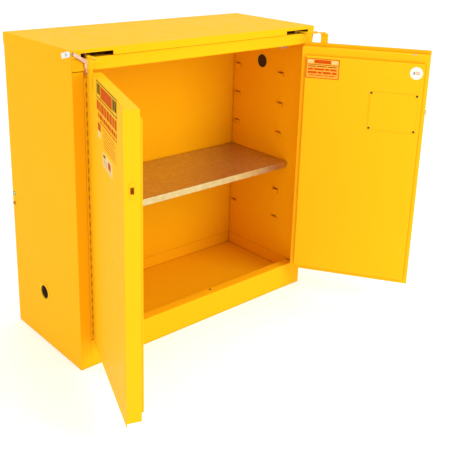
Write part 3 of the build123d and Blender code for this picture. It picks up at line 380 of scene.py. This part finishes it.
class Piece:
    """Gathers vertices and faces, each face with one of several materials."""

    def __init__(self):
        self.vertices = []
        self.faces = []
        self.face_materials = []

    def add(self, vertices, faces, material=0):
        start = len(self.vertices)
        self.vertices += [tuple(v) for v in vertices]
        self.faces += [tuple(start + i for i in face) for face in faces]
        self.face_materials += [material] * len(faces)

    def prism(self, outline, shift, material=0):
        """A closed outline of points, swept by a vector."""
        count = len(outline)
        upper = [point + shift for point in outline]
        sides = [(i, (i + 1) % count, count + (i + 1) % count, count + i) for i in range(count)]
        bottom = tuple(reversed(range(count)))
        top = tuple(range(count, 2 * count))
        self.add(outline + upper, sides + [bottom, top], material)

    def tab(self, sheet, low, high, lift, thick, radius, material=0, steps=5):
        """A thin rectangle on a sheet, its rounded corners in a few steps."""
        (x0, y0), (x1, y1) = low, high
        radius = min(radius, (x1 - x0) / 2, (y1 - y0) / 2)
        outline = []
        for cx, cy, start in (
            (x1 - radius, y1 - radius, 0),
            (x0 + radius, y1 - radius, 90),
            (x0 + radius, y0 + radius, 180),
            (x1 - radius, y0 + radius, 270),
        ):
            for step in range(steps + 1):
                angle = math.radians(start + 90 * step / steps)
                x, y = cx + radius * math.cos(angle), cy + radius * math.sin(angle)
                outline.append(sheet.at(x, y, lift))
        self.prism(outline, sheet.off * thick, material)

    def disc(self, sheet, centre, radius, lift, thick, material=0):
        """A thin round plate on a sheet."""
        outline = [sheet.at(centre[0] + x, centre[1] + y, lift) for x, y in circle(radius, 40)]
        self.prism(outline, sheet.off * thick, material)

    def tube(self, points, radius, sides=8):
        """A round wire along points, with flat ends."""
        rings = []
        side_way = None
        for i, point in enumerate(points):
            ahead = points[min(i + 1, len(points) - 1)] - points[max(i - 1, 0)]
            ahead.normalize()
            if side_way is None:
                side_way = ahead.orthogonal().normalized()
            side_way = (side_way - ahead * side_way.dot(ahead)).normalized()
            other = ahead.cross(side_way)
            rings += [point + side_way * x + other * y for x, y in circle(radius, sides)]
        last = (len(points) - 1) * sides
        ends = [tuple(reversed(range(sides))), tuple(range(last, last + sides))]
        self.add(rings, quads_between(len(points), sides) + ends)

    def ring(self, base, axis, profile):
        """A closed outline of (radius, height) pairs turned about an axis through base."""
        sides = 48
        side_way = axis.orthogonal().normalized()
        other = axis.cross(side_way)
        rings = []
        for radius, height in profile:
            rings += [base + axis * height + side_way * x + other * y for x, y in circle(radius, sides)]
        self.add(rings, quads_between(len(profile), sides, closed=True))

    def make(self, name, body, slot, inks=(), smooth=False):
        """The object, riding on a body. inks are its materials in order, or else only its slot's."""
        mesh = bpy.data.meshes.new(name)
        mesh.from_pydata(self.vertices, [], self.faces)
        for ink in inks or (slot,):
            mesh.materials.append(materials[ink])
        for polygon, index in zip(mesh.polygons, self.face_materials):
            polygon.material_index = index
        work = bmesh.new()
        work.from_mesh(mesh)
        bmesh.ops.recalc_face_normals(work, faces=work.faces)
        work.to_mesh(mesh)
        work.free()
        made = bpy.data.objects.new(name, mesh)
        bpy.context.scene.collection.objects.link(made)
        if smooth:
            mesh.shade_smooth()
            mesh.set_sharp_from_angle(angle=math.radians(40))
        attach(made, body)
        return made


# ---------------------------------------------------------------- screws


def loop_between(piece, outer, inner):
    """Faces between two loops of (angle, point), both in order of angle."""
    points = [point for _, point in outer] + [point for _, point in inner]
    faces = []
    i = j = 0
    count, inner_count = len(outer), len(inner)
    while i < count or j < inner_count:
        outer_next = outer[(i + 1) % count][0] + 2 * math.pi * ((i + 1) // count)
        inner_next = inner[(j + 1) % inner_count][0] + 2 * math.pi * ((j + 1) // inner_count)
        here, there = i % count, count + j % inner_count
        if j >= inner_count or (i < count and outer_next <= inner_next):
            faces.append((here, (i + 1) % count, there))
            i += 1
        else:
            faces.append((here, count + (j + 1) % inner_count, there))
            j += 1
    piece.add(points, faces)


def cross_screw(piece, seat, axis, right, radius, height):
    """A domed screw head with a cross recess."""
    sides = 32
    other = axis.cross(right)
    dome = ((1.0, 0.0), (1.0, 0.30), (0.93, 0.62), (0.80, 0.84), (0.66, 0.95))
    half, tip, floor = radius * 0.13, radius * 0.52, height * 0.35
    taper = 0.8  # of the recess, from its mouth to its floor

    def at(x, y, z):
        return seat + right * x + other * y + axis * z

    angles = [2 * math.pi * (k + 0.5) / sides for k in range(sides)]
    rings = []
    for share, rise in dome:
        wide = radius * share
        rings += [at(wide * math.cos(angle), wide * math.sin(angle), height * rise) for angle in angles]
    foot = [tuple(reversed(range(sides)))]
    piece.add(rings, foot + quads_between(len(dome), sides))

    cross = []
    for turn in range(4):
        c, s = round(math.cos(turn * math.pi / 2)), round(math.sin(turn * math.pi / 2))
        for x, y in ((half, half), (half, tip), (-half, tip)):
            px, py = x * c - y * s, x * s + y * c
            cross.append((math.atan2(py, px) % (2 * math.pi), px, py))
    cross.sort()
    count = len(cross)
    top = [at(x, y, height) for _, x, y in cross]
    low = [at(x * taper, y * taper, floor) for _, x, y in cross]
    loop_between(piece, list(zip(angles, rings[-sides:])), [(c[0], p) for c, p in zip(cross, top)])
    walls = [(i, (i + 1) % count, count + (i + 1) % count, count + i) for i in range(count)]
    piece.add(top + low, walls + [tuple(range(count, 2 * count))])


def screw_heads(name, node, body, slot, sheet, seats, slant, radius, height):
    """Detailed heads in place of a CAD node's plain screws, their recesses turned by the slant."""
    piece = Piece()
    right = (sheet.right + sheet.up * slant).normalized()
    for x, y in seats:
        cross_screw(piece, sheet.at(x, y), sheet.off, right, radius, height)
    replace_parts(piece.make(name, body, slot, smooth=True), node)


def corners_of(door, node, radius):
    """The centres of the four screws of a node, from the node's extent on its door."""
    along = door.reach(node, door.along)
    up = door.reach(node, door.up)
    return [
        (x, z)
        for x in (along[0] + radius, along[1] - radius)
        for z in (up[0] + radius, up[1] - radius)
    ]


COVER_HEAD_RADIUS, COVER_HEAD_HEIGHT = 4.2 * MM, 1.6 * MM
BRACKET_HEAD_RADIUS, BRACKET_HEAD_HEIGHT = 4.0 * MM, 2.2 * MM

doors = {side: Door(side) for side in ("left", "right")}
screw_heads(
    "cover_screw_heads",
    "cover_screws",
    "right_door",
    "screw_steel",
    doors["right"].face(doors["right"].reach("access_cover", doors["right"].inward)[1], outward=False),
    corners_of(doors["right"], "cover_screws", COVER_HEAD_RADIUS),
    slant=0.4,
    radius=COVER_HEAD_RADIUS,
    height=COVER_HEAD_HEIGHT,
)
for side, door in doors.items():
    node = f"bracket_screws_{side}"
    screw_heads(
        f"bracket_screw_heads_{side}",
        node,
        f"{side}_door",
        "yellow_hinge",
        door.face(door.reach(node, door.inward)[1], outward=True),
        corners_of(door, node, BRACKET_HEAD_RADIUS),
        slant=0.7,
        radius=BRACKET_HEAD_RADIUS,
        height=BRACKET_HEAD_HEIGHT,
    )


# ---------------------------------------------------------------- closer springs

POST_RADIUS = 7.0 * MM


def closer_springs():
    """Close-wound torsion springs round the two posts, each with a leg hooked behind the header."""
    low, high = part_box("closer_springs")
    post_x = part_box("closer_posts")[1].x - POST_RADIUS
    post_y = middle_of("closer_posts").y
    wire = 1.0 * MM
    coil_radius, coil_height = 6.9 * MM, 8.4 * MM
    turns, steps = 3.8, 106
    piece = Piece()
    for sign in (-1, 1):
        post = Vector((sign * post_x, post_y, 0))
        coil = []
        for i in range(steps + 1):
            angle = 2 * math.pi * turns * i / steps
            rise = high.z - coil_height + wire + (coil_height - 2 * wire) * i / steps
            spoke = Vector((coil_radius * math.cos(angle), sign * coil_radius * math.sin(angle), rise))
            coil.append(post + spoke)
        start = coil[0]
        leg_y = high.y - wire
        leg = [
            Vector((start.x, leg_y, low.z + 0.3 * MM)),
            Vector((start.x, leg_y, start.z - 2.5 * MM)),
            Vector((start.x, leg_y - 0.8 * MM, start.z - 0.8 * MM)),
            Vector((start.x, leg_y - 2.5 * MM, start.z)),
            Vector((start.x, (leg_y + start.y) / 2, start.z)),
            Vector((start.x, start.y + 1.5 * MM, start.z)),
        ]
        if sign > 0:
            coil = [Vector((p.x, 2 * post.y - p.y, p.z)) for p in coil]
        tail_way = (coil[-1] - coil[-2]).normalized()
        tail = [coil[-1] + tail_way * d * MM for d in (2, 5, 8)]
        piece.tube(leg + coil + tail, wire, sides=10)
    made = piece.make("closer_coils", "root", "dark_steel", smooth=True)
    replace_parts(made, "closer_springs")


closer_springs()


# ---------------------------------------------------------------- flame arresters


def flame_arrester(side):
    """Woven wire cloth in a rolled rim."""
    node = f"flame_arrester_{side}"
    low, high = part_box(node)
    centre = middle_of(node)
    outer, half_depth = (high.y - low.y) / 2, (high.x - low.x) / 2
    rim_width, cloth_thick = 1.6 * MM, 0.1 * MM
    inner = outer - rim_width
    pitch, wire, wave = 2.3 * MM, 0.38 * MM, 0.36 * MM
    piece = Piece()
    rim = [(outer, -half_depth), (outer, half_depth), (inner, half_depth), (inner, -half_depth)]
    across_hole = Vector((1, 0, 0))
    piece.ring(centre, across_hole, rim)
    fine_cloth = Sheet(centre, Vector((0, 1, 0)), Vector((0, 0, 1)), across_hole)
    piece.disc(fine_cloth, (0, 0), inner, -cloth_thick / 2, cloth_thick)
    count = int(inner / pitch)
    for across in range(2):
        for row in range(-count, count + 1):
            offset = row * pitch
            reach = math.sqrt(max(inner**2 - offset**2, 0))
            if reach < pitch:
                continue
            steps = max(4, int(4 * reach / pitch))
            points = []
            for i in range(steps + 1):
                run = -reach + 2 * reach * i / steps
                sign = 1 if (row + across) % 2 else -1
                dip = sign * wave * math.cos(math.pi * run / pitch)
                spot = (dip, offset, run) if across else (dip, run, offset)
                points.append(centre + Vector(spot))
            piece.tube(points, wire, sides=5)
    made = piece.make(f"arrester_screen_{side}", "root", "arrester_mesh", smooth=True)
    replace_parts(made, node)


def vent_thread(side):
    """The bare pipe thread in a vent bung's bore, between its screen and its mouth."""
    bung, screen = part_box(f"vent_bung_{side}"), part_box(f"flame_arrester_{side}")
    centre = middle_of(f"vent_bung_{side}")
    mount = next(m for m in frame["record"]["mounts"] if m["name"] == f"vent_{side}")
    bore = mount["dims"]["r_mm"]
    crest, root = (bore - 0.9) * MM, (bore - 0.1) * MM
    pitch, wall = 2.2 * MM, 0.05 * MM
    first, spare = 1.5 * MM, 3.5 * MM  # to the first thread, and the length without threads
    outer_end, sign = (0, -1) if side == "left" else (1, 1)
    start, stop, outward = screen[outer_end].x, bung[outer_end].x, Vector((sign, 0, 0))
    threads = int((abs(stop - start) - spare) / pitch)
    outline = [(root + wall, threads * pitch), (root + wall, 0)]
    for turn in range(threads):
        outline += [(root, turn * pitch), (crest, (turn + 0.5) * pitch)]
    piece = Piece()
    piece.ring(Vector((start, centre.y, centre.z)) + outward * first, outward, outline)
    # Drawn in the arrester's near-black colour: painted shade of the bore.
    piece.make(f"vent_thread_{side}", "root", "arrester_mesh")


for side in ("left", "right"):
    flame_arrester(side)
    vent_thread(side)


# ---------------------------------------------------------------- rod bushing

ROD_PROUD = 0.5 * MM  # of the drawn-back rod's end, above the door's top face


def rod_bushing():
    """The washer round the top latch rod, on the right door's top edge."""
    rod_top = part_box("latch_rod_top")[1].z
    tip = [v.co for v in frame["nodes"]["latch_rod_top"].data.vertices if v.co.z > rod_top - 1 * MM]
    middle = sum(tip, Vector()) / len(tip)
    base = Vector((middle.x, middle.y, rod_top - ROD_PROUD))
    bore, outer, thick, bevel = 4.5 * MM, 9.5 * MM, 0.9 * MM, (0.7 * MM, 0.4 * MM)
    profile = [
        (bore, 0),
        (outer, 0),
        (outer, thick - bevel[1]),
        (outer - bevel[0], thick),
        (bore, thick),
    ]
    piece = Piece()
    piece.ring(base, Vector((0, 0, 1)), profile)
    piece.make("rod_bushing", "right_door", "zinc")


rod_bushing()


# ---------------------------------------------------------------- labels, all without lettering

PRINT_TOP = 5 * MM  # from the left door's top edge to its print
PRINT_SCALE = 0.9 * MM  # the print's real height for each unit of its drops
PRINT_LIFT = 0.04 * MM  # of every label's back, off the sheet under it


def left_door_print():
    """Plain blocks and bars printed on the outer face, in the places of the maker's markings."""
    door = doors["left"]
    sheet = door.face(door.reach("door_skin_left", door.inward)[0], outward=True)
    top = door.reach("door_skin_left", door.up)[1] - PRINT_TOP
    thick = 0.12 * MM
    inks = ("ink_dark", "ink_red", "vinyl_cream", "ink_grey")
    dark, red, cream, grey = range(len(inks))
    piece = Piece()

    def bar(x0, x1, drop0, drop1, ink, radius=0.6, raised=0.0):
        """A bar between two distances along the door, in mm, and two drops from the print's top."""
        low, high = (x0 * MM, top - drop1 * PRINT_SCALE), (x1 * MM, top - drop0 * PRINT_SCALE)
        piece.tab(sheet, low, high, PRINT_LIFT + raised, thick, radius * MM, ink, 3)

    # Framed panel with three cells
    for drop0, drop1 in ((0, 3), (53, 56)):
        bar(150, 420, drop0, drop1, dark)
    for x0 in (150, 203, 362, 417):
        bar(x0, x0 + 3, 0, 56, dark)
    bar(211, 357, 8, 48, red, 2)
    for x0, x1 in ((160, 172), (178, 196), (370, 386), (392, 410)):
        bar(x0, x1, 8, 42, dark, 1.5)
    # Three rows of blocks, each lower than the one above it
    for drop0, drop1, start, lengths, gap in (
        (64, 96, 150, (30, 22, 36, 26, 32), 6),
        (104, 120, 168, (18, 30, 14, 24), 5),
        (126, 132, 190, (12, 20, 9), 4),
    ):
        place, index = start, 0
        while place < 410:
            stop = min(place + lengths[index % len(lengths)], 415)
            bar(place, stop, drop0, drop1, red, 1.2)
            place = stop + gap
            index += 1
    # Two-colour block beside rows of fine lines
    bar(160, 200, 138, 164, red, 3)
    bar(160, 200, 164.5, 188, cream, 3)
    for row, (x0, x1) in enumerate(
        ((230, 395), (236, 402), (232, 380), (238, 405), (234, 398), (240, 392), (236, 404))
    ):
        drop = 142 + row * 9.5
        place, index = x0, row
        while place < x1:
            stop = min(place + (16, 9, 22, 12, 7)[index % 5], x1)
            bar(place, stop, drop, drop + 2.6, red, 0.4)
            place = stop + 3
            index += 1
    # Small pale plate with a block and grey lines
    bar(222, 352, 220, 268, cream, 4)
    bar(296, 330, 230, 254, red, 2, raised=thick)
    bar(232, 262, 226, 234, dark, 1, raised=thick)
    for row in range(4):
        bar(232, 284, 239 + row * 6, 241 + row * 6, grey, 0.4, raised=thick)
    bar(296, 342, 259, 261.5, grey, 0.4, raised=thick)
    piece.make("door_print_left", "left_door", "ink_red", inks)


def right_door_label():
    """A framed pale label with a header band and plain rows."""
    door = doors["right"]
    sheet = door.face(door.reach("door_liner_right", door.inward)[1], outward=False)
    start = door.reach("door_liner_right", door.along)[0] + 2 * MM
    top = door.reach("door_liner_right", door.up)[1] - 8 * MM
    width, height, thick = 130 * MM, 78 * MM, 0.15 * MM
    inks = ("ink_red", "vinyl_pale", "vinyl_cream", "ink_dark")
    red, pale, cream, dark = range(len(inks))
    piece = Piece()
    piece.tab(sheet, (start, top - height), (start + width, top), PRINT_LIFT, thick, 2 * MM, red)

    def bar(near, far, upper, lower, ink, layer=2):
        """A bar between parts of the label's width, and between parts of its height from the top."""
        low, high = (start + near * width, top - lower * height), (start + far * width, top - upper * height)
        piece.tab(sheet, low, high, PRINT_LIFT + layer * thick, thick, 0.8 * MM, ink, 3)

    bar(0.022, 0.978, 0.035, 0.965, pale, layer=1)
    for near, far, ink in ((0.05, 0.22, cream), (0.25, 0.74, red), (0.77, 0.95, cream)):
        bar(near, far, 0.07, 0.24, ink)
    for upper, lower, ink, cells in (
        (0.30, 0.32, dark, ((0.05, 0.95),)),
        (0.38, 0.41, dark, ((0.08, 0.30), (0.34, 0.62), (0.66, 0.92))),
        (0.49, 0.58, red, ((0.07, 0.22), (0.25, 0.55), (0.58, 0.70), (0.73, 0.92))),
        (0.65, 0.75, red, ((0.07, 0.34), (0.37, 0.48), (0.51, 0.76), (0.79, 0.93))),
        (0.82, 0.86, red, ((0.12, 0.28), (0.31, 0.52), (0.55, 0.68), (0.71, 0.88))),
    ):
        for near, far in cells:
            bar(near, far, upper, lower, ink)
    piece.make("door_label_right", "right_door", "vinyl_pale", inks)


def round_sticker():
    """A white disc with a small grey and red block."""
    door = doors["right"]
    sheet = door.face(door.reach("door_liner_right", door.inward)[1], outward=False)
    far = door.reach("door_liner_right", door.along)[1]
    top = door.reach("door_liner_right", door.up)[1]
    across, up = far - 29 * MM, top - 36 * MM
    radius, thick, ink_thick = 24 * MM, 0.15 * MM, 0.1 * MM
    piece = Piece()
    piece.disc(sheet, (across, up), radius, PRINT_LIFT, thick)
    for (x0, y0), (x1, y1), ink in (((-12, -5), (-4, 5), 1), ((-2, -5), (12, -1), 2), ((-2, 1), (12, 5), 2)):
        low, high = (across + x0 * MM, up + y0 * MM), (across + x1 * MM, up + y1 * MM)
        piece.tab(sheet, low, high, PRINT_LIFT + thick, ink_thick, 0.6 * MM, ink)
    piece.make("door_sticker_right", "right_door", "vinyl_white", ("vinyl_white", "ink_grey", "ink_pink"))


def ground_mark():
    """The small round mark above the grounding screw."""
    screw = middle_of("ground_screw")
    origin = Vector((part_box("side_panel_left")[0].x, screw.y, screw.z))
    sheet = Sheet(origin, Vector((0, -1, 0)), Vector((0, 0, 1)), Vector((-1, 0, 0)))
    centre = (0, 38 * MM)
    lift, thick, ink_thick = 0.02 * MM, 0.15 * MM, 0.1 * MM
    piece = Piece()
    piece.disc(sheet, centre, 8.5 * MM, lift, thick, 0)
    piece.disc(sheet, centre, 4.0 * MM, lift + thick, ink_thick, 1)
    piece.make("ground_mark", "root", "paint_green", ("paint_green", "vinyl_white"))


left_door_print()
right_door_label()
round_sticker()
ground_mark()


# ---------------------------------------------------------------- tag

TAG_LEAN = math.radians(-15)
TAG_THICK = 0.35 * MM


def tag_plane():
    """The plane behind the tag: x along it away from its hole, z away from the cabinet."""
    middle = middle_of("link_tag")
    origin = Vector((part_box("link_tag")[1].x, middle.y, middle.z))
    along = Vector((0, math.cos(TAG_LEAN), math.sin(TAG_LEAN)))
    up = Vector((0, -math.sin(TAG_LEAN), math.cos(TAG_LEAN)))
    return Sheet(origin, along, up, Vector((-1, 0, 0)))


def paper_tag():
    """A curled card tag with clipped corners at its hole, and three plain printed blocks."""
    sheet = tag_plane()
    half_length, half_width = 25 * MM, 9 * MM
    columns, rows = 24, 8
    corners = []
    for layer in range(2):
        for i in range(columns + 1):
            for j in range(rows + 1):
                u, v = i / columns * 2 - 1, j / rows * 2 - 1
                clip = 1 - 0.35 * max(0.0, (-u - 0.75) / 0.25)
                curl = (0.5 + 2.2 * max(0.0, u) ** 2 + 0.25 * v * u) * MM
                corners.append(sheet.at(u * half_length, v * half_width * clip, curl + layer * TAG_THICK))

    def index(layer, place):
        return (layer * (columns + 1) + place[0]) * (rows + 1) + place[1]

    faces = []
    for layer in range(2):
        for i in range(columns):
            for j in range(rows):
                places = ((i, j), (i + 1, j), (i + 1, j + 1), (i, j + 1))
                faces.append([index(layer, place) for place in places])
    border = (
        [(i, 0) for i in range(columns)]
        + [(columns, j) for j in range(rows)]
        + [(i, rows) for i in range(columns, 0, -1)]
        + [(0, j) for j in range(rows, 0, -1)]
    )
    for here, after in zip(border, border[1:] + border[:1]):
        faces.append((index(0, here), index(0, after), index(1, after), index(1, here)))
    piece = Piece()
    piece.add(corners, faces)
    for (x0, y0), (x1, y1) in (((-4, -5), (-1, 5)), ((0.5, -4), (4, -1)), ((0.5, 1), (4, 4))):
        low, high = (x0 * MM, y0 * MM), (x1 * MM, y1 * MM)
        piece.tab(sheet, low, high, 0.9 * MM + TAG_THICK, 0.2 * MM, 0.3 * MM, 1)
    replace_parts(piece.make("paper_tag", "root", "tag_card", ("tag_card", "ink_grey")), "link_tag")


def tag_wire():
    """The wire from the tag's hole, round the neck of the fusible link's screw."""
    hole = tag_plane().at(-21 * MM, 0)
    screw = middle_of("link_screw")
    neck = Vector((screw.x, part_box("link_screw")[0].y + 3.4 * MM, screw.z))
    through_hole = [hole + MM * Vector(step) for step in ((-0.3, 1, -1), (-1.6, 0, 0), (-1.6, -6, 0.5))]
    between = [
        Vector((hole.x - 1 * MM, neck.y - 1 * MM, hole.z - 1 * MM)),
        Vector(((hole.x + neck.x) / 2, neck.y - 2.2 * MM, neck.z + 1 * MM)),
    ]
    round_neck = [
        neck + MM * Vector(step)
        for step in ((-3, -1.5, 2.6), (0, -0.6, 3.1), (2.4, -0.6, 1.6), (2.6, -0.6, -1.4), (0, -0.8, -3.0))
    ]
    piece = Piece()
    piece.tube(through_hole + between + round_neck, 0.45 * MM)
    piece.make("tag_wire", "root", "zinc", smooth=True)


paper_tag()
tag_wire()


# ---------------------------------------------------------------- studio

WHITE = (1.0, 1.0, 1.0, 1)
WORLD_LIGHT = 0.82
BACKDROP_LIGHT = 1.2
LAMPS = (  # name, place from the object's middle, width and height, power in watts
    ("key_lamp", (1.2, -3.6, 2.2), (2.4, 2.4), 85.0),
    ("left_lamp", (-3.8, -1.0, 1.6), (2.0, 2.0), 9.0),
    ("top_lamp", (0.0, 0.2, 3.6), (3.0, 2.0), 30.0),
)


def floor():
    """A pale floor that glows a little, just under the object."""
    reach, gap = 14.0, 0.5 * MM
    mesh = bpy.data.meshes.new("studio_floor")
    corners = [(-reach, -reach, 0), (reach, -reach, 0), (reach, reach, 0), (-reach, reach, 0)]
    mesh.from_pydata(corners, [], [(0, 1, 2, 3)])
    made = bpy.data.objects.new("studio_floor", mesh)
    made.location.z = -gap
    bpy.context.scene.collection.objects.link(made)
    n = Nodes("studio_floor")
    tone = n.spread(n.noise(1.5, 2.0), 0.0, 0.03)
    n.join(n.mix(tone, (0.90, 0.90, 0.90), (0.86, 0.86, 0.86)), n.shader.inputs["Base Color"])
    glow = {"Emission_Color": WHITE, "Emission_Strength": 0.32}
    mesh.materials.append(n.settle(Roughness=0.9, Specular_IOR_Level=0.1, **glow))


def surround():
    """A white world, brighter to the camera than it is as a light."""
    world = bpy.data.worlds.new("studio")
    bpy.context.scene.world = world
    world.use_nodes = True
    tree = world.node_tree
    light = tree.nodes["Background"]
    seen = tree.nodes.new("ShaderNodeBackground")
    for background, strength in ((light, WORLD_LIGHT), (seen, BACKDROP_LIGHT)):
        background.inputs["Color"].default_value = WHITE
        background.inputs["Strength"].default_value = strength
    chooser = tree.nodes.new("ShaderNodeMixShader")
    path = tree.nodes.new("ShaderNodeLightPath")
    tree.links.new(path.outputs["Is Camera Ray"], chooser.inputs["Fac"])
    tree.links.new(light.outputs["Background"], chooser.inputs[1])
    tree.links.new(seen.outputs["Background"], chooser.inputs[2])
    tree.links.new(chooser.outputs["Shader"], tree.nodes["World Output"].inputs["Surface"])


def lamps():
    """Three large soft lamps, turned towards the object's middle."""
    centre = (CAD_LOW + CAD_HIGH) / 2
    for name, offset, size, power in LAMPS:
        data = bpy.data.lights.new(name, "AREA")
        data.shape = "RECTANGLE"
        data.size, data.size_y = size
        data.energy = power
        lamp = bpy.data.objects.new(name, data)
        lamp.location = centre + Vector(offset)
        lamp.rotation_mode = "QUATERNION"
        lamp.rotation_quaternion = (-Vector(offset)).to_track_quat("-Z", "Y")
        bpy.context.scene.collection.objects.link(lamp)


floor()
surround()
lamps()
bpy.context.scene.view_settings.view_transform = "Standard"
bpy.context.scene.view_settings.look = "None"
